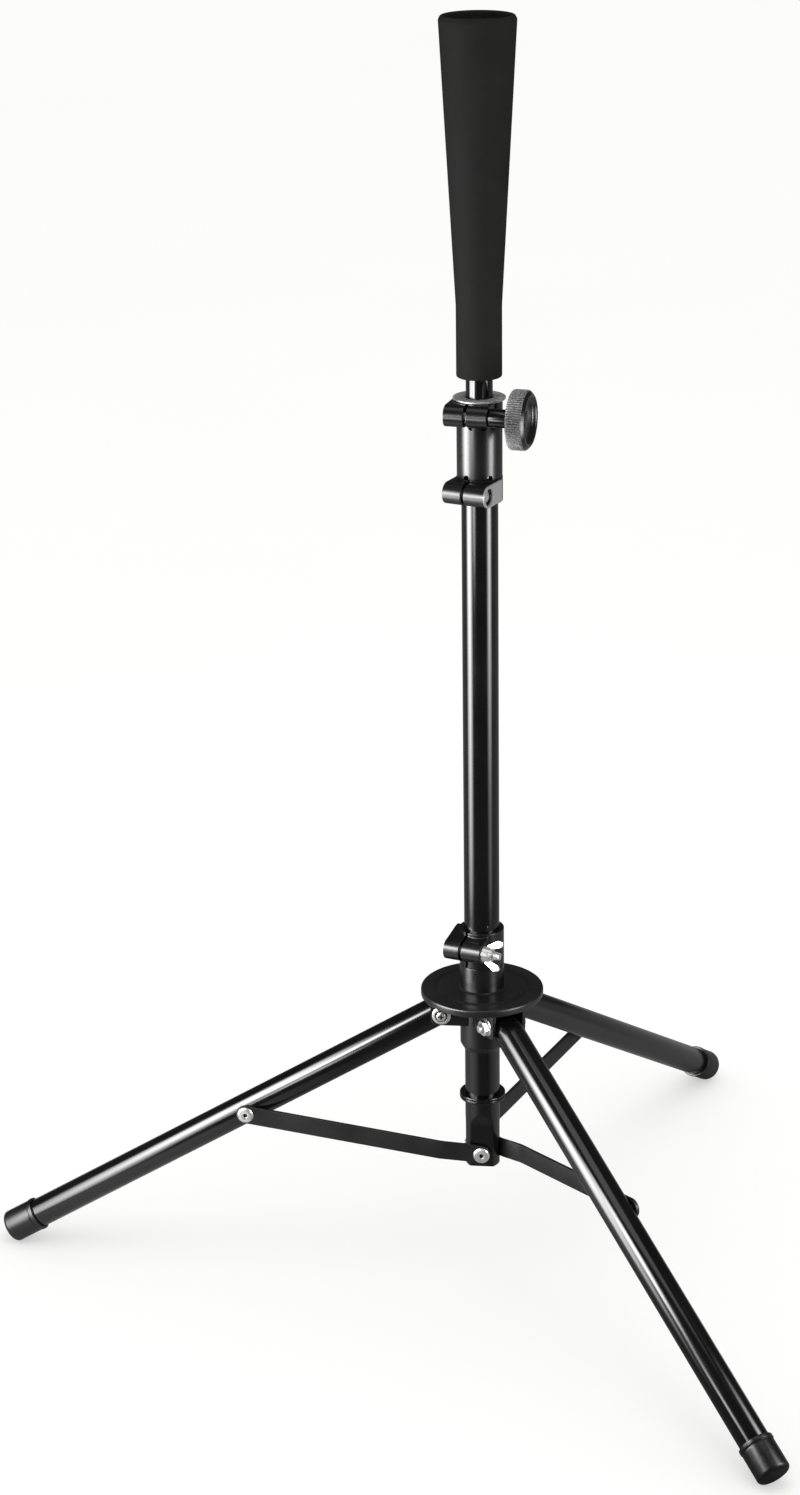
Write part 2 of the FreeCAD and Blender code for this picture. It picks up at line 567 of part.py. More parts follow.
def build():
    hub_height = LEG_HINGE_HEIGHT - BRACE_HEIGHT_AT_MAST
    nodes = {
        "mast_tube": mast_tube(),
        "stop_ring": stop_ring(),
        "coupler_sleeve": coupler_sleeve(),
        "shaft_bush": shaft_bush(),
        "upper_clamp_band": clamp_band(UPPER_CLAMP, COUPLER_SEAT_R, UPPER_BAND_BOTTOM,
                                       COUPLER_TOP - 0.2),
        "upper_clamp_nut": upper_clamp_nut(),
        "clamp_screw": clamp_screw(),
        "knob_spacer": knob_spacer(),
        "clamp_knob": clamp_knob(),
        "lower_clamp_band": clamp_band(LOWER_CLAMP, COUPLER_SEAT_R, COUPLER_BOTTOM,
                                       LOWER_BAND_TOP, nut_pocket=True),
        "lower_clamp_bolt": clamp_bolt(LOWER_CLAMP, LOWER_BOLT_END),
        "lower_clamp_nut": clamp_nut(LOWER_CLAMP),
        "inner_shaft": inner_shaft(),
        "shaft_guide": shaft_guide(),
        "ball_cone": ball_cone(),
        "hub_sleeve": hub_sleeve(),
        "hub_disc": hub_disc(),
        "hub_clamp_band": clamp_band(HUB_CLAMP, HUB_SEAT_R, HUB_BAND_BOTTOM, HUB_BAND_TOP,
                                     tall=True),
        "hub_clamp_bolt": clamp_bolt(HUB_CLAMP, HUB_BOLT_END),
        "wing_nut": wing_nut(),
    }
    makers = (leg_bracket, leg_hinge_bolt, leg_hinge_nut, leg_tube, foot_cap, brace,
              brace_mast_rivet, brace_leg_rivet)
    for number, azimuth in enumerate(LEG_AZIMUTHS, start=1):
        for maker in makers:
            nodes[f"{maker.__name__}_{number}"] = maker(azimuth)
    travel, leg_turn, brace_turn = folded_pose()
    print(f"hub travel {travel:.3f} mm, leg turn {leg_turn:.4f} deg, brace turn {brace_turn:.4f} deg")
    print(f"brace length {BRACE_LENGTH:.3f} mm, standing angle {BRACE_ANGLE:.4f} deg, "
          f"hinge above brace rivet {hub_height:.2f} mm")
    return nodes


os.makedirs("parts", exist_ok=True)
for name, shape in build().items():
    if len(shape.Solids) != 1 or not shape.isValid():
        print("CHECK", name, "solids", len(shape.Solids), "valid", shape.isValid())
    shape.exportStep(f"parts/{name}.step")
    box = shape.BoundBox
    print(f"{name:22s} {shape.Volume / 1000:9.3f} cm3  z {box.ZMin:8.2f} {box.ZMax:8.2f}")
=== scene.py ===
import json
import math

import bmesh
import bpy
from mathutils import Matrix, Vector


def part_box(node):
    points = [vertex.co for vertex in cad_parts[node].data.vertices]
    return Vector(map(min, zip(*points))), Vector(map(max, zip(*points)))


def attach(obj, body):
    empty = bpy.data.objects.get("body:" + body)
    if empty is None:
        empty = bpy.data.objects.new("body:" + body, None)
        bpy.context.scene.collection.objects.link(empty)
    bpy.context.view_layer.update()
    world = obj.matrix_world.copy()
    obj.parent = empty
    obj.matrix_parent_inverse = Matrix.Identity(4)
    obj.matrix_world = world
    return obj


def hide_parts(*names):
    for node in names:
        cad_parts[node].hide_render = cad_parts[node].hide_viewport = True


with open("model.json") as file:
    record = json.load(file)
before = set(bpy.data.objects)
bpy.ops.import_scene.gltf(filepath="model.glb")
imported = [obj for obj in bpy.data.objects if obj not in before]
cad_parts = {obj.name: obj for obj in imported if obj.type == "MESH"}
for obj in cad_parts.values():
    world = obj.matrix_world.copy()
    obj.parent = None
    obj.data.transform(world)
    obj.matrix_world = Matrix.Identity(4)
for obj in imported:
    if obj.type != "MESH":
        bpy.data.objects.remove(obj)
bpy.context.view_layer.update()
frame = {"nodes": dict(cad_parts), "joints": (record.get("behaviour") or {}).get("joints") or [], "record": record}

MM = 0.001
LEGS = (1, 2, 3)

# ---- sizes in millimetres, as the frame has them -----------------------------
TUBE_WALL = 1.2
MAST_R = 12.7
PRESS_FACE = 9.6              # a flat of the mast's pressed end, from the mast's axis
PRESS_TOP = 114.0             # height where the flats begin to run out
PRESS_RUNOUT = 127.0          # height from which the mast is round
SHAFT_R = 9.2
SLEEVE_R = 16.0               # the hub's sleeve, which its disc and brackets fit around
BOLT_R = 3.0
BOLT_LINE = 20.5              # a clamp's bolt, from the mast's axis
UPPER_CLAMP = (652.2, -15.0)  # height and azimuth of the bolt
LOWER_CLAMP = (597.6, -25.0)
HUB_CLAMP = (258.5, -22.0)
LEG_R = 10.9
LEG_LENGTH = 385.4            # from the hinge to the tip of the rubber cap
LEG_TAIL = 6.0                # tube behind the hinge
LEG_SLOPE = 30.6              # degrees below level
CAP_END = 5.0                 # rubber beyond the end of the tube
CAP_R = 12.15
HINGE_REACH = 28.4            # a leg's hinge, from the mast's axis
EAR_FACE = 13.8               # outer face of a bracket's ear, from the leg's middle plane
BRACE_WIDTH = 14.0
BRACE_THICK = 2.5
BRACE_AT_MAST = 9.9           # inner face of a brace at the mast, from the leg's middle plane
BRACE_AT_LEG = 11.5           # and at the leg
RIVET_R = 2.5
RIVET_REACH = 170.0           # a brace's rivet on the leg, from the leg's hinge


# ---- places ------------------------------------------------------------------
def turned_by(degrees, axis="Z"):
    return Matrix.Rotation(math.radians(degrees), 4, axis)


def joint(name):
    return next(j for j in frame["joints"] if j["name"] == name)


def span(node_name):
    """Lowest and highest height of a frame node."""
    return [corner.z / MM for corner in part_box(node_name)]


def leg_azimuth(i):
    x, y, _ = joint(f"leg_{i}_hinge")["pos_m"]
    return math.degrees(math.atan2(y, x))


def hinge_place(i):
    """Millimetre frame of a leg's hinge: X outward, Y the brace side, Z up."""
    x, y, z = (c / MM for c in joint(f"leg_{i}_hinge")["pos_m"])
    return turned_by(leg_azimuth(i)) @ Matrix.Translation((math.hypot(x, y), 0, z))


def leg_place(i):
    return hinge_place(i) @ turned_by(LEG_SLOPE, "Y")


def brace_pose(i):
    """Millimetre frame of a brace: X from the mast's rivet to the leg's rivet, and its length."""
    rivet = leg_place(i) @ Vector((RIVET_REACH, 0, 0))
    height = joint(f"brace_{i}_hinge")["pos_m"][2] / MM
    reach = math.hypot(rivet.x, rivet.y)
    rise = rivet.z - height
    tilt = turned_by(-math.degrees(math.atan2(rise, reach)), "Y")
    place = turned_by(leg_azimuth(i)) @ Matrix.Translation((0, 0, height)) @ tilt
    return place, math.hypot(reach, rise)


def clamp_place(clamp):
    height, azimuth = clamp
    return turned_by(azimuth) @ Matrix.Translation((0, -BOLT_LINE, height))


ALONG_X = turned_by(90, "Y")   # lays a turned shape's Z axis along X
ALONG_Y = turned_by(-90, "X")  # and along Y


# ---- mesh helpers: everything is drawn in millimetres ------------------------
def mesh_of(verts, faces):
    mesh = bpy.data.meshes.new("shape")
    mesh.from_pydata([tuple(v) for v in verts], [], faces)
    mesh.validate()
    return mesh


def rounded(outline, steps=5, closed=True):
    """Outline of (a, b) or (a, b, radius) points with its corners rounded."""
    straight = 3.13             # a corner this wide open, in radians, stays as it is
    out = []
    count = len(outline)
    for k, point in enumerate(outline):
        radius = point[2] if len(point) > 2 else 0
        here = Vector(point[:2])
        before = Vector(outline[k - 1][:2]) - here
        after = Vector(outline[(k + 1) % count][:2]) - here
        at_end = not closed and k in (0, count - 1)
        if radius <= 0 or at_end or before.angle(after) > straight:
            out.append(tuple(here))
            continue
        half = before.angle(after) / 2
        reach = min(radius / math.tan(half), before.length * 0.49, after.length * 0.49)
        radius = reach * math.tan(half)
        centre = here + (before.normalized() + after.normalized()).normalized() * (
            radius / math.sin(half))
        start = here + before.normalized() * reach - centre
        end = here + after.normalized() * reach - centre
        sweep = start.angle_signed(end)
        for s in range(steps + 1):
            turn = Matrix.Rotation(-sweep * s / steps, 2)
            out.append(tuple(centre + turn @ start))
    return out


def loft(rings, wrap=True, cap=False):
    """Skin through rings of equal length: wrap joins the last to the first, cap closes the ends."""
    n = len(rings[0])
    verts = [v for ring in rings for v in ring]
    faces = []
    count = len(rings)
    for k in range(count if wrap else count - 1):
        a, b = k * n, ((k + 1) % count) * n
        for s in range(n):
            t = (s + 1) % n
            faces.append((a + s, a + t, b + t, b + s))
    if cap:
        faces.append(tuple(reversed(range(n))))
        faces.append(tuple(range((count - 1) * n, count * n)))
    return mesh_of(verts, faces)


def circle(radius, height, segments=96, shape=None):
    """Ring of points; shape(angle, radius) may bend the radius."""
    ring = []
    for s in range(segments):
        angle = 2 * math.pi * s / segments
        r = radius if shape is None else shape(angle, radius)
        ring.append((r * math.cos(angle), r * math.sin(angle), height))
    return ring


def turned(outline, segments=96, steps=5):
    """Outline of (radius, height, rounding) turned about Z.

    It is closed if it keeps clear of the axis, and else it runs from the axis back to the axis.
    """
    on_axis = 1e-4
    if all(point[0] > on_axis for point in outline):
        return loft([circle(r, z, segments) for r, z in rounded(outline, steps)])
    points = rounded(outline, steps, closed=False)
    rings = [circle(max(r, on_axis), z, segments) for r, z in points]
    return weld(loft(rings, wrap=False), 0.001)


def edit(mesh, action=None):
    """The mesh after an action on its bmesh, if any, with its faces turned outward."""
    bm = bmesh.new()
    bm.from_mesh(mesh)
    if action:
        action(bm)
    bmesh.ops.recalc_face_normals(bm, faces=bm.faces)
    bm.to_mesh(mesh)
    bm.free()
    return mesh


def weld(mesh, distance):
    return edit(mesh, lambda bm: bmesh.ops.remove_doubles(bm, verts=bm.verts, dist=distance))


def moved(mesh, matrix):
    mesh.transform(matrix)
    return mesh


def copied(mesh, matrix):
    return moved(mesh.copy(), matrix)


def box_mesh(low, high):
    (x0, y0, z0), (x1, y1, z1) = low, high
    ring = [(x0, y0), (x1, y0), (x1, y1), (x0, y1)]
    return loft([[(x, y, z0) for x, y in ring], [(x, y, z1) for x, y in ring]], False, True)


def modified(mesh, *steps):
    """The mesh after some modifiers, each (kind, {setting: value}); "object" takes a mesh."""
    obj = bpy.data.objects.new("work", mesh)
    bpy.context.scene.collection.objects.link(obj)
    others = []
    for kind, settings in steps:
        modifier = obj.modifiers.new(kind, kind)
        for key, value in settings.items():
            if key == "object":
                value = bpy.data.objects.new("cutter", value)
                bpy.context.scene.collection.objects.link(value)
                others.append(value)
            setattr(modifier, key, value)
    bpy.context.view_layer.update()
    out = bpy.data.meshes.new_from_object(obj.evaluated_get(bpy.context.evaluated_depsgraph_get()))
    for other in others + [obj]:
        bpy.data.objects.remove(other)
    return out


def cut(mesh, *cutters, operation="DIFFERENCE"):
    steps = [("BOOLEAN", {"object": c, "operation": operation, "solver": "EXACT"})
             for c in cutters]
    return modified(mesh, *steps)


def marked(mesh, attribute, amount):
    """Stores an amount, 0 to 1, for each vertex by its place; a material reads it."""
    layer = mesh.attributes.new(attribute, "FLOAT", "POINT")
    for vertex in mesh.vertices:
        layer.data[vertex.index].value = amount(vertex.co)
    return mesh


def piece(name, mesh, body, finish, stands_for, place=Matrix.Identity(4), sharp=32.0):
    """A finished piece: placed, in metres, riding on its body and standing for one CAD node.

    Edges that bend by more than sharp degrees are drawn as edges, and the rest is smooth.
    """
    mesh = edit(copied(mesh, Matrix.Scale(MM, 4) @ place))
    mesh.name = name
    mesh.shade_smooth()
    mesh.set_sharp_from_angle(angle=math.radians(sharp))
    mesh.materials.clear()
    mesh.materials.append(MATERIALS[finish])
    obj = bpy.data.objects.new(name, mesh)
    bpy.context.scene.collection.objects.link(obj)
    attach(obj, body)
    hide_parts(stands_for)


# ---- materials ---------------------------------------------------------------
def feed(tree, socket, value):
    """Links another node's output to a socket, or sets the socket to a plain value."""
    if isinstance(value, bpy.types.NodeSocket):
        tree.links.new(value, socket)
    else:
        socket.default_value = value


def node(tree, kind, inputs=(), **settings):
    made = tree.nodes.new(kind)
    for key, value in settings.items():
        setattr(made, key, value)
    for key, value in dict(inputs).items():
        feed(tree, made.inputs[key], value)
    return made


def noise_of(tree, scale, detail=3.0, rough=0.5, stretch=(1, 1, 1)):
    """Noise from 0 to 1 in object space, with scale in cells per metre."""
    place = node(tree, "ShaderNodeTexCoord").outputs["Object"]
    place = node(tree, "ShaderNodeMapping", {"Vector": place, "Scale": stretch}).outputs[0]
    made = node(tree, "ShaderNodeTexNoise",
                {"Vector": place, "Scale": scale, "Detail": detail, "Roughness": rough})
    return made.outputs["Fac"]


def ramp(tree, fac, low, high, start, end):
    """fac between low and high, mapped to start to end."""
    return node(tree, "ShaderNodeMapRange",
                {"Value": fac, "From Min": low, "From Max": high, "To Min": start,
                 "To Max": end}).outputs["Result"]


def blend_colour(tree, fac, first, second):
    """From the first colour at fac 0 to the second at fac 1; each is plain or another output."""
    made = node(tree, "ShaderNodeMix", {0: fac}, data_type="RGBA")
    for socket, colour in ((made.inputs[6], first), (made.inputs[7], second)):
        feed(tree, socket, (*colour, 1) if isinstance(colour, tuple) else colour)
    return made.outputs[2]


def new_material(name):
    material = bpy.data.materials.new(name)
    material.use_nodes = True
    tree = material.node_tree
    return material, tree, tree.nodes["Principled BSDF"]


def set_look(tree, shader, colour, roughness, bump=None, **values):
    """Sets the shader's inputs; bump is (height, strength, distance in metres)."""
    feed(tree, shader.inputs["Base Color"], colour)
    feed(tree, shader.inputs["Roughness"], roughness)
    for key, value in values.items():
        shader.inputs[key.replace("_", " ")].default_value = value
    if bump:
        height, strength, distance = bump
        inputs = {"Height": height, "Strength": strength, "Distance": distance}
        normal = node(tree, "ShaderNodeBump", inputs).outputs["Normal"]
        tree.links.new(normal, shader.inputs["Normal"])


def coated_metal(name, dark, light, rough_low, rough_high, peel, level):
    """Paint or powder coat on steel: faint orange peel, uneven gloss and tiny dust specks.

    Where a mesh is marked for it, a pale grey like bare steel is painted in, a painted highlight.
    """
    material, tree, shader = new_material(name)
    broad = noise_of(tree, 26.0, 4.0)
    fine = noise_of(tree, 900.0, 2.0)
    peel_field = noise_of(tree, 420.0, 2.0, 0.4)
    colour = blend_colour(tree, ramp(tree, broad, 0.35, 0.65, 0.0, 1.0), dark, light)
    speck = ramp(tree, fine, 0.72, 0.80, 0.0, 0.35)
    colour = blend_colour(tree, speck, colour, tuple(c * 3 for c in light))
    # Painted highlight: a pale grey, like bare steel, for the light the lower clamp's end face catches.
    painted_highlight = node(tree, "ShaderNodeAttribute", attribute_name="painted_highlight").outputs["Fac"]
    colour = blend_colour(tree, painted_highlight, colour, (0.30, 0.30, 0.30))
    roughness = ramp(tree, broad, 0.3, 0.7, rough_low, rough_high)
    set_look(tree, shader, colour, roughness, (peel_field, peel, 0.0002),
             Specular_IOR_Level=level)
    return material


def bright_plate(name):
    """Bright zinc plate: fine turning marks, an uneven grey, and painted shade, near black, where marked "dark".
    """
    material, tree, shader = new_material(name)
    broad = noise_of(tree, 160.0, 4.0, 0.6)
    marks = noise_of(tree, 700.0, 2.0, 0.6, (1, 1, 0.15))
    colour = blend_colour(tree, ramp(tree, broad, 0.35, 0.7, 0.0, 1.0),
                          (0.52, 0.52, 0.51), (0.80, 0.80, 0.79))
    # Painted shade: near black where a mesh is marked, in the bolts' recesses and the rivets' centre holes, where
    # shade falls.
    recess_shade = node(tree, "ShaderNodeAttribute", attribute_name="dark").outputs["Fac"]
    colour = blend_colour(tree, recess_shade, colour, (0.010, 0.010, 0.010))
    set_look(tree, shader, colour, ramp(tree, broad, 0.3, 0.7, 0.22, 0.38),
             (marks, 0.25, 0.0002), Metallic=0.7)
    return material


def moulded(name, dark, light, rough, grain_scale, grain, level):
    """Moulded plastic or rubber with a fine grain and faint flow clouds."""
    material, tree, shader = new_material(name)
    broad = noise_of(tree, 34.0, 5.0, 0.6)
    cells = noise_of(tree, grain_scale, 3.0, 0.65)
    colour = blend_colour(tree, ramp(tree, broad, 0.3, 0.7, 0.0, 1.0), dark, light)
    colour = blend_colour(tree, ramp(tree, cells, 0.62, 0.78, 0.0, 0.4), colour,
                          tuple(c * 2.2 for c in light))
    roughness = ramp(tree, broad, 0.3, 0.7, rough - 0.05, rough + 0.07)
    set_look(tree, shader, colour, roughness, (cells, grain, 0.0003),
             Specular_IOR_Level=level)
    return material


def knurled(name, place, grip_radius):
    """Hand knob: pale grip, partly the moulding's grey and partly a painted sheen for the light its knurling
    catches, and glossy dark face within grip_radius of its axis, in metres.
    """
    material, tree, shader = new_material(name)
    axis = (place.to_3x3() @ Vector((1, 0, 0))).normalized()
    centre = place.translation * MM
    at = node(tree, "ShaderNodeTexCoord").outputs["Object"]
    offset = node(tree, "ShaderNodeVectorMath", {0: at, 1: centre}, operation="SUBTRACT")
    across = node(tree, "ShaderNodeVectorMath", {0: offset.outputs[0], 1: axis},
                  operation="CROSS_PRODUCT")
    radius = node(tree, "ShaderNodeVectorMath", {0: across.outputs[0]}, operation="LENGTH")
    grip = ramp(tree, radius.outputs["Value"], grip_radius - 0.5 * MM, grip_radius, 0.0, 1.0)
    grains = noise_of(tree, 1000.0, 3.0, 0.65)
    # Painted sheen: the grip's pale grey stands partly for the light its knurling catches.
    pale = blend_colour(tree, ramp(tree, grains, 0.38, 0.62, 0.0, 1.0),
                        (0.015, 0.015, 0.0155), (0.30, 0.30, 0.306))
    clouds = noise_of(tree, 60.0, 4.0)
    face = blend_colour(tree, clouds, (0.006, 0.006, 0.0062), (0.012, 0.012, 0.0125))
    colour = blend_colour(tree, grip, face, pale)
    roughness = ramp(tree, grip, 0.0, 1.0, 0.17, 0.5)
    set_look(tree, shader, colour, roughness, (grains, 0.3, 0.0004), Specular_IOR_Level=0.5)
    return material


# After the name and the two colours: for coated metal the least and most roughness, the depth of
# its orange peel and its specular level; for a moulding the roughness, the grain's scale and depth
# and the specular level.
MATERIALS = {
    "enamel": coated_metal("gloss_black_enamel", (0.003, 0.003, 0.0032),
                           (0.005, 0.005, 0.0052), 0.12, 0.18, 0.018, 0.5),
    "satin_steel": coated_metal("satin_black_steel", (0.004, 0.004, 0.0042),
                                (0.007, 0.007, 0.0073), 0.22, 0.31, 0.05, 0.5),
    "brace_steel": coated_metal("satin_black_strip", (0.007, 0.007, 0.0072),
                                (0.011, 0.011, 0.0112), 0.36, 0.48, 0.10, 0.4),
    "disc_plastic": moulded("satin_black_moulding", (0.008, 0.008, 0.0083),
                            (0.013, 0.013, 0.0134), 0.30, 1100.0, 0.08, 0.5),
    "cone_rubber": moulded("matte_black_rubber", (0.011, 0.0107, 0.0103),
                           (0.017, 0.0165, 0.016), 0.80, 1500.0, 0.3, 0.08),
    "foot_rubber": moulded("black_cap_rubber", (0.005, 0.005, 0.005),
                           (0.008, 0.008, 0.008), 0.30, 1300.0, 0.10, 0.4),
    "knob_plastic": knurled("grey_knob_moulding", clamp_place(UPPER_CLAMP), 20.1 * MM),
    "ferrule_plate": bright_plate("polished_ferrule"),
    "guide_plastic": moulded("plain_black_moulding", (0.02, 0.02, 0.02),
                             (0.028, 0.028, 0.028), 0.5, 900.0, 0.1, 0.4),
    "zinc_plate": bright_plate("bright_zinc_plate"),
}


# ---- mast, shaft and ball cone -----------------------------------------------
def mast_mesh():
    """Round tube whose lower end is pressed to three soft-cornered flats."""
    low, high = span("mast_tube")
    azimuths = [math.radians(leg_azimuth(i) + 90) for i in LEGS]
    clear = MAST_R + 0.4        # a flat this far out misses the tube
    soft = 0.35                 # width of the corners where a flat meets the round or a flat
    edge = 0.3
    inner = MAST_R - TUBE_WALL

    def flat_at(z):
        share = min(1, max(0, (PRESS_RUNOUT - z) / (PRESS_RUNOUT - PRESS_TOP)))
        return clear - (clear - PRESS_FACE) * share * share * (3 - 2 * share)

    def shape_at(z, shrink):
        flat_face = flat_at(z) - shrink

        def shape(angle, radius):
            least = radius
            for azimuth in azimuths:
                facing = math.cos(angle - azimuth)
                if facing > 0.2:
                    flat = flat_face / facing
                    gap = max(0.0, soft - abs(least - flat)) / soft
                    least = min(least, flat) - gap * gap * soft / 4
            return least
        return shape

    run_out = [PRESS_TOP - 4.5 + 0.75 * k for k in range(24)]
    heights = [low + 0.5, *range(84, 109, 4), *run_out, 140, *range(200, 601, 100), high - 0.4]
    rings = [circle(MAST_R - edge, low, 192, shape_at(low, edge))]
    rings += [circle(MAST_R, z, 192, shape_at(z, 0)) for z in heights]
    rings += [circle(MAST_R - edge, high, 192)]
    rings += [circle(inner, z, 192, shape_at(z, TUBE_WALL)) for z in [high] + heights[::-1]]
    rings += [circle(inner + 0.2, low, 192, shape_at(low, TUBE_WALL - 0.2))]
    return loft(rings)


def cone_mesh():
    """Rubber ball cone: gripped sleeve below, long flare, soft lip and open cup."""
    base, top = span("ball_cone")
    grip_r = 15.6
    flare_start = 724.0
    cup_floor = 778.0
    longest = 8.0               # stretch between two rings
    outline = [(SHAFT_R, base, 0.4), (grip_r, base, 1.2), (grip_r, flare_start, 60.0),
               (25.95, top - 2.7, 3.0), (24.5, top, 2.4), (22.5, top, 0.6),
               (22.0, top - 1.6, 0.6), (22.0, top - 5.0, 0.5), (21.0, top - 7.0, 1.0),
               (13.2, cup_floor, 1.5), (SHAFT_R, cup_floor, 0.0)]
    points = rounded(outline, 8)
    dense = []
    for k, (r, z) in enumerate(points):
        after = points[(k + 1) % len(points)]
        cuts = max(1, int(math.hypot(after[0] - r, after[1] - z) / longest))
        dense += [(r + (after[0] - r) * s / cuts, z + (after[1] - z) * s / cuts)
                  for s in range(cuts)]
    return loft([circle(r, z, 128) for r, z in dense])


def tube_mesh(outer, low, high):
    inner = outer - TUBE_WALL
    edge = 0.3
    return turned([(inner, low, edge), (outer, low, edge), (outer, high, edge),
                   (inner, high, edge)], 128, 3)


def ferrule_mesh():
    """Flanged guide: its spigot is in the mast, and its flange stands on the coupler."""
    low, top = span("shaft_bush")
    mast_top = span("mast_tube")[1]
    under_flange = top - 1.4
    bore = SHAFT_R + 0.07
    spigot = MAST_R - TUBE_WALL
    flange = 18.2
    return turned([(bore, low, 0.2), (spigot, low, 0.2), (spigot, mast_top), (MAST_R, mast_top),
                   (MAST_R, under_flange), (flange, under_flange, 0.3), (flange, top, 0.6),
                   (10.4, top, 0.3), (bore, top - 0.9, 0.2)], 128)


def stop_ring_mesh():
    """Ring on the mast, with a fine groove around its middle."""
    low, top = span("stop_ring")
    middle = (low + top) / 2
    outer = 16.7
    return turned([(MAST_R, low), (outer, low, 0.8), (outer, middle - 0.5, 0.3),
                   (outer - 0.8, middle, 0.3), (outer, middle + 0.5, 0.3), (outer, top, 0.8),
                   (MAST_R, top)], 96, 4)


def slotted(mesh, azimuths, start, end):
    """Upright slots through a sleeve, each with a round relief hole at its end."""
    half_width = 1.2
    hole_r = 2.2
    inside, outside = 5, 22
    hole = turned([(0, inside), (hole_r, inside), (hole_r, outside), (0, outside)], 32)
    hole = moved(hole, Matrix.Translation((0, 0, end)) @ ALONG_X)
    slot = box_mesh((inside + 1, -half_width, min(start, end)),
                    (outside, half_width, max(start, end)))
    cutters = []
    for azimuth in azimuths:
        cutters += [copied(slot, turned_by(azimuth)), copied(hole, turned_by(azimuth))]
    return cut(mesh, *cutters)


def coupler_mesh():
    """Sleeve on the mast's top: a thicker middle between two slotted seats for clamps."""
    low, top = span("coupler_sleeve")
    middle_low = span("lower_clamp_band")[1]
    middle_top = span("upper_clamp_band")[0]
    seat_r, middle_r = 14.7, 15.7
    relief = 1.2
    mesh = turned([(MAST_R, low), (seat_r, low, 0.3), (seat_r, middle_low),
                   (middle_r, middle_low, 0.4), (middle_r, middle_top, 0.4),
                   (seat_r, middle_top), (seat_r, top, 0.3), (MAST_R, top)], 128)
    mesh = slotted(mesh, (250.0, 282.0), top + 1, middle_top - relief)
    return slotted(mesh, (236.0, 298.0), low - 1, middle_low + relief)


def hub_sleeve_mesh():
    """Sleeve that slides on the mast: a tapered lower end, and a slotted seat for its clamp."""
    low, top = span("hub_sleeve")
    seat_low = span("hub_clamp_band")[0]
    bore = MAST_R + 0.05
    seat_r = 14.8
    mesh = turned([(bore, low), (bore + 0.6, low, 0.3), (SLEEVE_R, low + 4.8, 0.8),
                   (SLEEVE_R, seat_low, 0.3), (seat_r, seat_low), (seat_r, top, 0.3),
                   (bore, top)], 128)
    return slotted(mesh, (226.0, 46.0), top + 1, seat_low + 3)


def disc_mesh():
    """Shallow disc: a rim that hangs down, a groove around the top, a fillet at the sleeve."""
    low, top = span("hub_disc")
    under = low + 2.6
    rim_r = 44.4
    inner_rim_r = rim_r - 3.0
    return turned([(SLEEVE_R, under), (inner_rim_r, under, 0.8), (inner_rim_r, low, 0.5),
                   (rim_r, low, 0.9), (rim_r, top, 1.7), (35.2, top, 1.2),
                   (33.0, top - 1.0, 1.2), (30.8, top, 1.2), (17.4, top, 2.0),
                   (SLEEVE_R, top + 1.1)], 160, 6)


# ---- clamps ------------------------------------------------------------------
def softened(node_name, voxel=0.28, passes=3):
    """A frame node's own shape with its edges and inner corners rounded as a casting's are."""
    mesh = frame["nodes"][node_name].data.copy()
    mesh.transform(Matrix.Scale(1 / MM, 4))
    mesh.materials.clear()
    weld(mesh, 0.002)
    return modified(mesh, ("REMESH", {"mode": "VOXEL", "voxel_size": voxel}),
                    ("SMOOTH", {"factor": 0.5, "iterations": passes}))


def threaded(start, end):
    """Outline of a bolt's threaded end: ridges from start to end."""
    pitch = 1.0
    root = BOLT_R - 0.32
    points = [(root, start)]
    z = start + pitch / 2
    while z < end - pitch * 0.75:
        points += [(BOLT_R, z), (root, z + pitch / 2)]
        z += pitch
    return points + [(root, end - 0.1), (root - 0.5, end)]


def cheese_bolt_mesh(total):
    """Bolt along X from 0: slotted round head, plain shank, threaded end."""
    head_r, head_face, under_head = 5.6, 0.6, 5.4
    shank_end = 18.0
    slot_half, slot_depth = 0.7, 2.2
    outline = [(0, head_face), (head_r, head_face, 0.5), (head_r, under_head, 0.2),
               (BOLT_R, under_head), (BOLT_R, shank_end)]
    outline += threaded(shank_end + 0.2, total)
    mesh = turned(outline + [(0, total)], 48)
    slot = box_mesh((-8, -slot_half, -1), (8, slot_half, slot_depth))
    return moved(cut(mesh, slot), ALONG_X)


def hex_nut_mesh(flange=0.0):
    """Hexagon nut along Z from 0, with chamfered corners and a countersunk bore.

    flange is the thickness of a round flange under it, if it has one.
    """
    segments = 96
    flat = 5.0
    thick = 4.6
    sink = 0.6
    chamfer = flat * 0.97

    def ring(height, rise):
        out = []
        for s in range(segments):
            angle = 2 * math.pi * s / segments
            r = flat / math.cos((angle % (math.pi / 3)) - math.pi / 6)
            z = height - rise * (r - chamfer) * 0.6
            out.append((r * math.cos(angle), r * math.sin(angle), z))
        return out

    rings = [circle(BOLT_R, 0.5, segments), circle(BOLT_R + sink, 0, segments)]
    if flange:
        rings += [circle(flat + 1.3, 0, segments), circle(flat + 1.35, flange * 0.6, segments),
                  circle(flat + 0.9, flange, segments), ring(flange + 0.02, 0)]
    else:
        rings += [circle(chamfer, 0, segments), ring(0, -1)]
    rings += [ring(thick, 1), circle(chamfer, thick, segments),
              circle(BOLT_R + sink, thick, segments), circle(BOLT_R, thick - sink, segments)]
    return loft(rings)


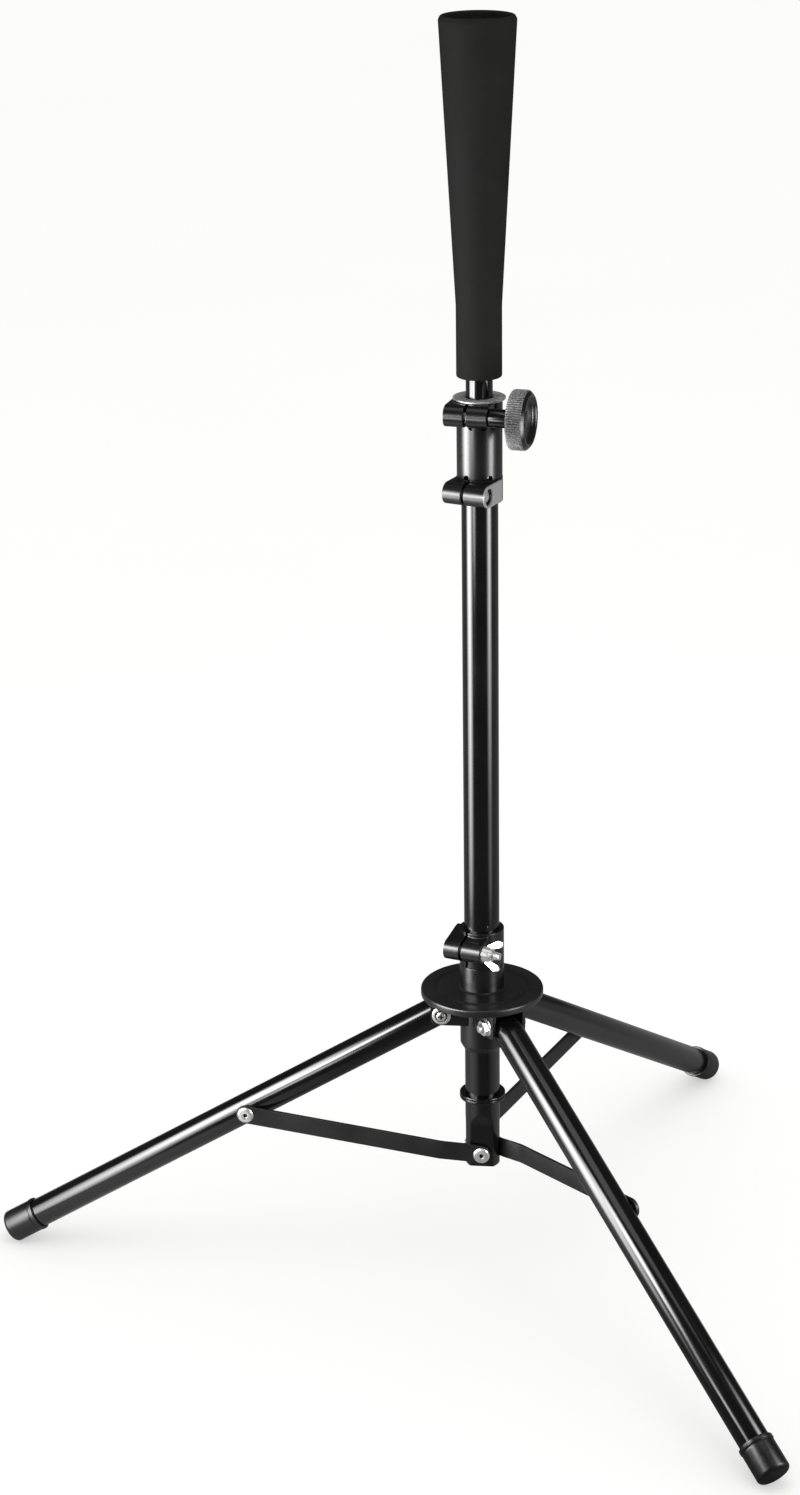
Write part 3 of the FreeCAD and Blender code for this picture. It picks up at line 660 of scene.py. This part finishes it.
def knob_mesh():
    """Thick disc from 28.5 to 42 along X: knurled grip, polished bevel and dished outer face."""
    flutes = 72
    per_flute = 8
    flute_depth = 0.75
    segments = flutes * per_flute
    # radius, place along the axis and share of the flutes' depth
    profile = [(BOLT_R, 28.5, 0), (7.4, 28.5, 0), (8.2, 28.8, 0), (17.5, 28.8, 0),
               (19.0, 28.9, 0), (19.8, 29.2, 0.2), (20.3, 29.8, 0.8), (20.5, 30.6, 1),
               (20.5, 33.0, 1), (20.5, 36.0, 1), (20.5, 38.6, 1), (20.3, 39.5, 0.8),
               (20.0, 39.9, 0.2), (19.6, 40.3, 0), (18.1, 41.7, 0), (17.6, 42.0, 0),
               (16.6, 41.98, 0), (15.8, 41.6, 0), (15.2, 40.9, 0), (14.7, 39.6, 0),
               (14.0, 39.0, 0), (12.5, 38.8, 0), (6.2, 38.8, 0), (5.6, 39.2, 0), (4.8, 39.4, 0)]

    def grooved(share):
        def shape(angle, radius):
            return radius - flute_depth * share * abs(math.cos(flutes * angle / 2)) ** 1.6
        return shape

    def close(bm):
        ends = [edge for edge in bm.edges if edge.is_boundary]
        bmesh.ops.holes_fill(bm, edges=ends, sides=0)

    mesh = loft([circle(r, z, segments, grooved(share)) for r, z, share in profile], wrap=False)
    return moved(edit(mesh, close), ALONG_X)


# ---- hub hinges, legs and braces ---------------------------------------------
def bracket_mesh():
    """Bent steel bracket in the hinge's frame: two ears and the bridge between them."""
    back, front, foot, top = -19.0, 8.0, -8.0, 15.4
    ear_thick, bridge_thick = 2.5, 2.2
    inner = EAR_FACE - ear_thick
    under = top - bridge_thick
    section = rounded([(-EAR_FACE, foot - 1), (-EAR_FACE, top, 2.6), (EAR_FACE, top, 2.6),
                       (EAR_FACE, foot - 1), (inner, foot - 1), (inner, under, 0.9),
                       (-inner, under, 0.9), (-inner, foot - 1)], 5)
    channel = loft([[(x, y, z) for y, z in section] for x in (back - 1, front + 1)], False, True)
    outline = rounded([(back, foot), (0.0, foot), (front, foot, 7.9), (front, 1.0),
                       (front, top + 1), (back, top + 1)], 12)
    side = EAR_FACE + 2
    profile = loft([[(x, y, z) for x, z in outline] for y in (-side, side)], False, True)
    sleeve = moved(turned([(0, -20), (SLEEVE_R, -20), (SLEEVE_R, 30), (0, 30)], 96),
                   Matrix.Translation((-HINGE_REACH, 0, 0)))
    mesh = cut(edit(channel), edit(profile), operation="INTERSECT")
    mesh = cut(mesh, sleeve)
    return modified(mesh, ("BEVEL", {"width": 0.35, "segments": 2, "limit_method": "ANGLE",
                                     "angle_limit": math.radians(40)}))


def pan_bolt_mesh():
    """Hinge bolt along Y: flanged head with a cross recess in its button, threaded end."""
    head = EAR_FACE
    end = -EAR_FACE - 7.2
    outline = [(0, head + 3.8), (2.6, head + 3.7, 2.0), (3.5, head + 3.0, 0.6),
               (3.7, head + 1.5, 0.1), (4.4, head + 1.5, 0.1), (4.6, head + 2.2, 0.2),
               (5.9, head + 1.9, 1.0), (6.9, head + 1.1, 0.5), (6.9, head, 0.2), (BOLT_R, head),
               (BOLT_R, -EAR_FACE - 1)]
    outline += [(r, -z) for r, z in threaded(EAR_FACE + 1.2, -end)] + [(0, end)]
    mesh = turned(outline, 64)
    deep = head + 1.9
    arm, half_arm = 2.4, 0.62
    for x_half, y_half in ((arm, half_arm), (half_arm, arm)):
        top = [(-x_half, -y_half), (x_half, -y_half), (x_half, y_half), (-x_half, y_half)]
        low = [(x * 0.75, y * 0.75, deep) for x, y in top]
        mesh = cut(mesh, loft([low, [(x, y, head + 5) for x, y in top]], False, True))

    # The head's groove and cross recess are marked for painted shade, a near-black colour where shade falls.
    def in_recess(at):
        radius = math.hypot(at.x, at.y)
        in_groove = 3.55 < radius < 4.5 and at.z < head + 1.7
        in_cross = radius < 2.5 and deep - 0.1 < at.z < head + 3.2
        return 1.0 if at.z > head + 0.1 and (in_groove or in_cross) else 0.0
    return moved(marked(mesh, "dark", in_recess), ALONG_Y)


def cap_mesh():
    """Rubber cap along X: grip collar with a groove, rounded end, hollow up to the tube's end."""
    start = LEG_LENGTH - 26.0
    tube_end = LEG_LENGTH - CAP_END
    outline = [(0, tube_end), (LEG_R, tube_end, 0.2), (LEG_R, start, 0.2), (12.6, start, 0.6),
               (12.6, start + 2.9, 0.5), (11.75, start + 3.6, 0.3), (CAP_R, start + 4.6, 0.5),
               (CAP_R, LEG_LENGTH, 3.0), (0, LEG_LENGTH)]
    return moved(turned(outline, 96, 7), ALONG_X)


def brace_mesh(length):
    """Strip with round ends and rounded edges, stepped out near the mast and in at the leg."""
    half = BRACE_WIDTH / 2
    edge = 0.45
    path = rounded([(-half - 1, BRACE_AT_MAST), (9.0, BRACE_AT_MAST, 20.0), (30.0, 13.2, 25.0),
                    (length - 9.0, BRACE_AT_LEG, 25.0), (length + half + 1, BRACE_AT_LEG)],
                   6, closed=False)

    def face_at(x):
        for a, b in zip(path, path[1:]):
            if a[0] <= x <= b[0]:
                return a[1] + (b[1] - a[1]) * (x - a[0]) / (b[0] - a[0])
        return path[-1][1]

    def end_station(degrees):
        angle = math.radians(degrees)
        return -half * math.cos(angle), half * math.sin(angle)

    # stations are (distance along the strip, half of its width there)
    round_end = [end_station(degrees) for degrees in (6, 12, 20, 30, 42, 55, 70, 82)]
    between = [0.0, *range(6, 39, 2), 55, 80, 105, 130,
               length - 20, length - 14, length - 9, length - 4, length]
    stations = round_end + [(x, half) for x in between]
    stations += [(length - x, wide) for x, wide in reversed(round_end)]
    rings = []
    for x, wide in stations:
        middle = face_at(x) + BRACE_THICK / 2
        ring = []
        for z_side, y_side, start in ((1, 1, 0), (-1, 1, 90), (-1, -1, 180), (1, -1, 270)):
            z = (wide - edge) * z_side
            y = middle + (BRACE_THICK / 2 - edge) * y_side
            for degrees in (0, 30, 60, 90):
                turn = math.radians(start + degrees)
                ring.append((x, y + edge * math.sin(turn), z + edge * math.cos(turn)))
        rings.append(ring)
    return loft(rings, wrap=False, cap=True)


def rivet_mesh(face, foot, tail=False):
    """Rivet along Y: low domed head with a rolled rim and a centre hole, on the plane y = face."""
    tail_r, tail_high = 4.0, 0.8
    outline = [(0, foot), (RIVET_R, foot), (RIVET_R, face), (6.0, face, 0.15),
               (6.0, face + 0.5, 0.4), (4.9, face + 1.45, 1.2), (3.2, face + 1.7, 1.2),
               (1.7, face + 1.45, 0.3), (1.45, face + 0.5, 0.1), (0, face + 0.3)]
    if tail:
        outline[:2] = [(0, foot - tail_high), (tail_r, foot - tail_high, 0.3), (tail_r, foot),
                       (RIVET_R, foot)]
    mesh = turned(outline, 64, 4)
    # The centre hole is marked for painted shade, a near-black colour where shade falls.
    marked(mesh, "dark", lambda at: float(math.hypot(at.x, at.y) < 1.6 and at.z > face + 0.1))
    return moved(mesh, ALONG_Y)


# ---- pieces ------------------------------------------------------------------
def build_mast():
    piece("mast", mast_mesh(), "mast", "enamel", "mast_tube", sharp=45)
    piece("slide_stop_ring", stop_ring_mesh(), "mast", "enamel", "stop_ring")
    piece("coupler", coupler_mesh(), "mast", "satin_steel", "coupler_sleeve")
    piece("ferrule", ferrule_mesh(), "mast", "ferrule_plate", "shaft_bush")
    piece("shaft", tube_mesh(SHAFT_R, *span("inner_shaft")), "post", "enamel", "inner_shaft")
    piece("cone", cone_mesh(), "post", "cone_rubber", "ball_cone", sharp=60)


def end_face_highlight_marked(band):
    """Marks the lower clamp's end face for a painted highlight, pale grey like bare steel, and not the barrel
    behind it.
    """
    to_bolt = clamp_place(LOWER_CLAMP).inverted()
    barrel_end, blend = 16.1, 0.3
    return marked(band, "painted_highlight",
                  lambda at: min(1, max(0, ((to_bolt @ at).x - barrel_end) / blend)))


def build_clamps():
    # each bolt lies along X from start to end, measured from the middle of its clamp
    for name, clamp, body, start, end in (("lower", LOWER_CLAMP, "mast", -15.0, 15.8),
                                          ("hub", HUB_CLAMP, "hub", -18.4, 23.0)):
        band = softened(f"{name}_clamp_band")
        if name == "lower":
            end_face_highlight_marked(band)
        piece(f"{name}_clamp", band, body, "satin_steel", f"{name}_clamp_band", sharp=180)
        place = clamp_place(clamp) @ Matrix.Translation((start, 0, 0))
        piece(f"{name}_bolt", cheese_bolt_mesh(end - start), body, "zinc_plate",
              f"{name}_clamp_bolt", place)
    seat = clamp_place(LOWER_CLAMP) @ Matrix.Translation((10.1, 0, 0)) @ ALONG_X
    piece("lower_nut", hex_nut_mesh(), "mast", "zinc_plate", "lower_clamp_nut", seat)
    piece("hub_wing_nut", softened("wing_nut", voxel=0.2, passes=4), "wing_nut", "zinc_plate",
          "wing_nut", sharp=180)
    place = clamp_place(UPPER_CLAMP)
    piece("upper_clamp", softened("upper_clamp_band"), "mast", "satin_steel",
          "upper_clamp_band", sharp=180)
    piece("knob", knob_mesh(), "knob", "knob_plastic", "clamp_knob", place)
    spacer = turned([(BOLT_R, 13.5), (6.3, 13.5, 0.6), (6.3, 28.5, 0.4), (BOLT_R, 28.5)], 64)
    piece("spacer", moved(spacer, ALONG_X), "knob", "enamel", "knob_spacer", place)


def build_hub():
    piece("hub", hub_sleeve_mesh(), "hub", "satin_steel", "hub_sleeve")
    piece("disc", disc_mesh(), "hub", "disc_plastic", "hub_disc")
    bracket = bracket_mesh()
    bolt = pan_bolt_mesh()
    nut = moved(hex_nut_mesh(flange=1.0),
                Matrix.Translation((0, -EAR_FACE, 0)) @ turned_by(90, "X"))
    for i in LEGS:
        place = hinge_place(i)
        piece(f"bracket_{i}", bracket, "hub", "satin_steel", f"leg_bracket_{i}", place)
        piece(f"hinge_bolt_{i}", bolt, "hub", "zinc_plate", f"leg_hinge_bolt_{i}", place)
        piece(f"hinge_nut_{i}", nut, "hub", "zinc_plate", f"leg_hinge_nut_{i}", place)


def build_legs():
    leg = moved(tube_mesh(LEG_R, -LEG_TAIL, LEG_LENGTH - CAP_END), ALONG_X)
    cap = cap_mesh()
    mast_rivet = rivet_mesh(BRACE_AT_MAST + BRACE_THICK + 0.1, BRACE_AT_MAST - 1.5, tail=True)
    leg_rivet = rivet_mesh(BRACE_AT_LEG + BRACE_THICK, LEG_R + 0.3)
    for i in LEGS:
        place = leg_place(i)
        piece(f"leg_{i}", leg, f"leg_{i}", "enamel", f"leg_tube_{i}", place)
        standing = copied(cap, place)
        for vertex in standing.vertices:
            vertex.co.z = max(vertex.co.z, 0.0)
        piece(f"foot_{i}", standing, f"leg_{i}", "foot_rubber", f"foot_cap_{i}")
        place, length = brace_pose(i)
        piece(f"strut_{i}", brace_mesh(length), f"brace_{i}", "brace_steel", f"brace_{i}",
              place, sharp=40)
        piece(f"mast_rivet_{i}", mast_rivet, "mast", "zinc_plate", f"brace_mast_rivet_{i}",
              place)
        piece(f"leg_rivet_{i}", leg_rivet, f"brace_{i}", "zinc_plate", f"brace_leg_rivet_{i}",
              place @ Matrix.Translation((length, 0, 0)))


def finish_frame_nodes():
    """Every node that still shows gets its slot's finish."""
    slots = {part["node"]: part["material_slot"] for part in frame["record"]["subparts"]}
    for name, obj in frame["nodes"].items():
        if obj.hide_render:
            continue
        for holder in obj.material_slots:
            holder.material = MATERIALS[slots[name]]


# ---- floor, light, camera ----------------------------------------------------
def build_floor():
    """Pale sweep; in reflections it is dim but for a pool of light at either side."""
    half_size = 30.0
    front, back = -0.35, -0.05
    pools = (((-0.36, -0.14, 0), 0.95), ((0.36, 0.02, 0), 0.50))
    pool_core, pool_edge = 0.10, 0.32
    material, tree, shader = new_material("pale_floor")
    cloud = noise_of(tree, 1.3, 3.0)
    colour = blend_colour(tree, cloud, (0.50, 0.50, 0.497), (0.52, 0.52, 0.517))
    set_look(tree, shader, colour, 0.9, Specular_IOR_Level=0.0,
             Emission_Color=(1.0, 1.0, 0.993, 1), Emission_Strength=0.46)
    seen_in_gloss = node(tree, "ShaderNodeLightPath").outputs["Is Glossy Ray"]
    at = node(tree, "ShaderNodeTexCoord").outputs["Object"]
    depth = node(tree, "ShaderNodeSeparateXYZ", {0: at}).outputs["Y"]
    pale = blend_colour(tree, ramp(tree, depth, front, back, 0.0, 1.0),
                        (0.10, 0.10, 0.10), (0.26, 0.26, 0.26))
    for centre, glow in pools:
        away = node(tree, "ShaderNodeVectorMath", {0: at, 1: centre}, operation="DISTANCE")
        near = ramp(tree, away.outputs["Value"], pool_core, pool_edge, 1.0, 0.0)
        pale = blend_colour(tree, near, pale, (glow, glow, glow))
    dim = node(tree, "ShaderNodeBsdfDiffuse", {"Color": pale})
    mixed = node(tree, "ShaderNodeMixShader", {0: seen_in_gloss, 1: shader.outputs[0],
                                               2: dim.outputs[0]})
    tree.links.new(mixed.outputs[0], tree.nodes["Material Output"].inputs["Surface"])
    mesh = mesh_of([(-half_size, -half_size, 0), (half_size, -half_size, 0),
                    (half_size, half_size, 0), (-half_size, half_size, 0)], [(0, 1, 2, 3)])
    mesh.materials.append(material)
    floor = bpy.data.objects.new("floor", mesh)
    bpy.context.scene.collection.objects.link(floor)


def faded_strength(tree, place, direction, size, fade):
    """How bright a soft box is from point to point: less near the floor, the top and the sides.

    fade is the height that is dimmest, the height where it gets full, the strength at the
    dimmest, and the share of the width that stays full.
    """
    low, high, least, core = fade
    wide, tall = size
    at = node(tree, "ShaderNodeNewGeometry").outputs["Position"]
    height = node(tree, "ShaderNodeSeparateXYZ", {0: at}).outputs["Z"]
    upright = ramp(tree, height, low, high, least, 1.0)
    top = place[2] + tall / 2
    below_top = ramp(tree, height, top - 0.4 * tall, top, 1.0, 0.0)
    sideways = Vector((-direction.y, direction.x, 0)).normalized()
    offset = node(tree, "ShaderNodeVectorMath", {0: at, 1: Vector(place)}, operation="SUBTRACT")
    side = node(tree, "ShaderNodeVectorMath", {0: offset.outputs[0], 1: sideways},
                operation="DOT_PRODUCT")
    away = node(tree, "ShaderNodeMath", {0: side.outputs["Value"]}, operation="ABSOLUTE")
    across = ramp(tree, away.outputs[0], core * wide / 2, wide / 2, 1.0, 0.0)
    strength = node(tree, "ShaderNodeMath", {0: upright, 1: across}, operation="MULTIPLY")
    strength = node(tree, "ShaderNodeMath", {0: strength.outputs[0], 1: below_top},
                    operation="MULTIPLY")
    return strength.outputs[0]


def soft_box(name, place, target, size, radiance, fade=None):
    """Soft box at a place, facing a target; one with a fade shows in reflections only."""
    wide, tall = size
    light = bpy.data.lights.new(name, "AREA")
    light.shape = "RECTANGLE"
    light.size = wide
    light.size_y = tall
    light.energy = radiance * math.pi * wide * tall
    obj = bpy.data.objects.new(name, light)
    direction = Vector(target) - Vector(place)
    obj.location = place
    obj.rotation_euler = direction.to_track_quat("-Z", "Y").to_euler()
    obj.visible_camera = False
    if fade:
        obj.visible_diffuse = False
        light.use_nodes = True
        tree = light.node_tree
        strength = faded_strength(tree, place, direction, size, fade)
        tree.links.new(strength, tree.nodes["Emission"].inputs["Strength"])
    bpy.context.scene.collection.objects.link(obj)


def build_light():
    """White surroundings, nearly dark in reflections, and the soft boxes seen in the tubes."""
    in_reflections = 0.06
    world = bpy.data.worlds.new("studio")
    world.use_nodes = True
    tree = world.node_tree
    seen_in_gloss = node(tree, "ShaderNodeLightPath").outputs["Is Glossy Ray"]
    strength = ramp(tree, seen_in_gloss, 0.0, 1.0, 1.0, in_reflections)
    background = tree.nodes["Background"]
    background.inputs["Color"].default_value = (1.0, 1.0, 1.0, 1)
    tree.links.new(strength, background.inputs["Strength"])
    bpy.context.scene.world = world
    soft_box("left_box", (-0.64, -0.24, 0.43), (0, 0, 0.43), (0.56, 0.86), 32.0,
             (0.0, 0.42, 0.2, 0.1))
    soft_box("corner_card", (-0.60, -0.58, 0.68), (0.1, -0.2, 0.1), (0.38, 0.50), 32.0,
             (0.44, 0.60, 0.1, 0.2))
    soft_box("low_card", (-0.60, -0.82, 0.40), (0, 0, 0.64), (0.44, 0.30), 11.0,
             (0.0, 0.1, 0.5, 0.1))
    soft_box("right_box", (0.60, -0.34, 0.43), (0, 0, 0.43), (0.44, 0.86), 18.0,
             (0.1, 0.42, 0.12, 0.1))
    soft_box("overhead", (0.0, -0.3, 2.6), (0, 0, 0.5), (1.4, 1.4), 1.5)


def build_camera():
    """Camera where the photograph was taken from, turned and rolled as it was."""
    place = (0.05329, -2.1018, 1.1858)
    yaw, pitch, roll = (math.radians(a) for a in (-3.0087, 20.3008, -0.8089))
    forward = Vector((math.sin(yaw) * math.cos(pitch), math.cos(yaw) * math.cos(pitch),
                      -math.sin(pitch)))
    right = Vector((math.cos(yaw), -math.sin(yaw), 0))
    up = right.cross(forward)
    right, up = (math.cos(roll) * right + math.sin(roll) * up,
                 -math.sin(roll) * right + math.cos(roll) * up)
    data = bpy.data.cameras.new("camera")
    data.sensor_fit = "VERTICAL"
    data.sensor_height = 36.0
    data.lens = 76.49843
    data.clip_end = 100.0
    camera = bpy.data.objects.new("camera", data)
    turn = Matrix((right, up, -forward)).transposed().to_4x4()
    camera.matrix_world = Matrix.Translation(place) @ turn
    bpy.context.scene.collection.objects.link(camera)
    bpy.context.scene.camera = camera


build_mast()
build_clamps()
build_hub()
build_legs()
finish_frame_nodes()
build_floor()
build_light()
build_camera()
bpy.context.scene.view_settings.view_transform = "Standard"
